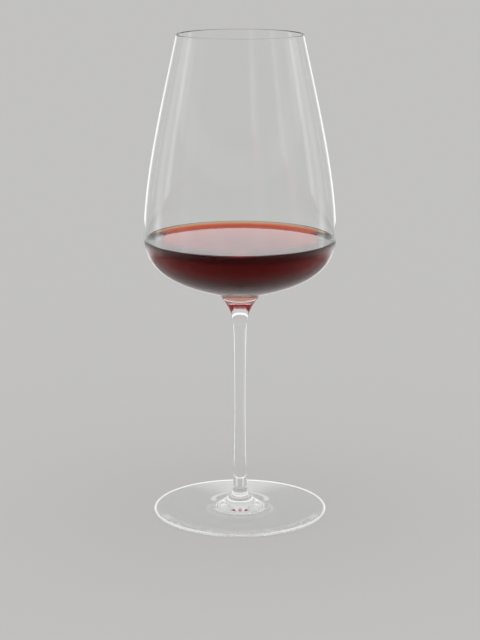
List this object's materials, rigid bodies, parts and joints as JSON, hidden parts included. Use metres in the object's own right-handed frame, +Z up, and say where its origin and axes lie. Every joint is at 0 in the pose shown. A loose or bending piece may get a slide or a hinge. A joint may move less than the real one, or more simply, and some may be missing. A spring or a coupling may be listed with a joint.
{
  "type": "wine glass",
  "caption": "Stemmed wine glass with a tall bowl that tapers in to the rim, a slim drawn stem, a wide flat foot and a serving of red wine.",
  "frame": {"origin": "centre of the flat ring that the foot rests on, at table level", "axes": "+Z up along the glass's axis from foot to rim; the glass is round, so +X and +Y are any two directions at right angles"},
  "size_m": [0.0948, 0.0948, 0.24],
  "materials": {
    "clear_glass": "polished",
    "red_wine": "polished"
  },
  "bodies": {
    "root": {"bowl": "clear_glass", "stem": "clear_glass", "foot": "clear_glass", "wine": "red_wine"}
  },
  "joints": []
}
